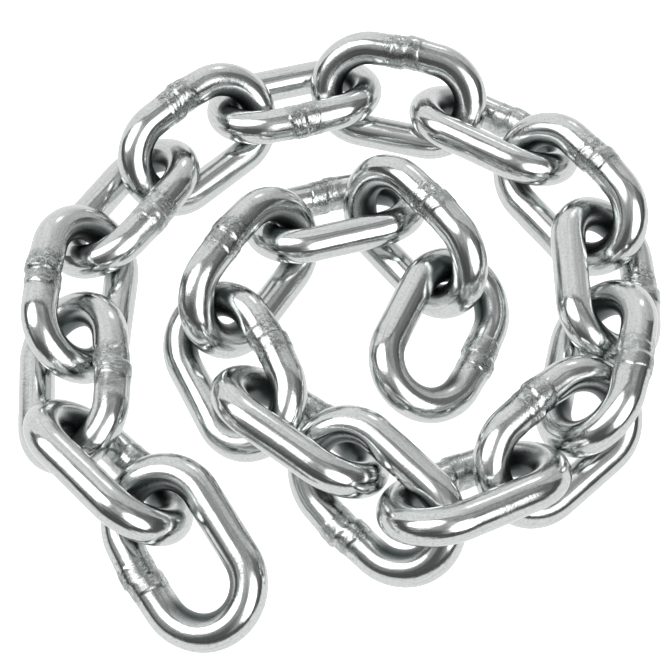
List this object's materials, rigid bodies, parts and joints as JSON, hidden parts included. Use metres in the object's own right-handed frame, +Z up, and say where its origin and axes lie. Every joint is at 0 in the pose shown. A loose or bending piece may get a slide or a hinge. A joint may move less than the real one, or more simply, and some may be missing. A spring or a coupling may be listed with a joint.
{
  "type": "steel chain heap",
  "caption": "Short length of welded steel link chain, laid in a flat spiral heap on a level surface, with both end links free for a hook or shackle.",
  "frame": {"origin": "centre of the heap's bounding box, on the floor that the heap lies on", "axes": "+Z up; the picture looks towards +Y and down, with +X to its right; the outer end link is at the front left and the inner end link lies in the middle"},
  "size_m": [0.1842, 0.19, 0.0335],
  "materials": {
    "bright_steel": "bright, smooth and nearly polished, greyer and slightly rough at each weld"
  },
  "bodies": {
    "root": {"link_01": "bright_steel", "link_02": "bright_steel", "link_03": "bright_steel", "link_04": "bright_steel", "link_05": "bright_steel", "link_06": "bright_steel", "link_07": "bright_steel", "link_08": "bright_steel", "link_09": "bright_steel", "link_10": "bright_steel", "link_11": "bright_steel", "link_12": "bright_steel", "link_13": "bright_steel", "link_14": "bright_steel", "link_15": "bright_steel", "link_16": "bright_steel", "link_17": "bright_steel", "link_18": "bright_steel", "link_19": "bright_steel", "link_20": "bright_steel", "link_21": "bright_steel"}
  },
  "joints": []
}
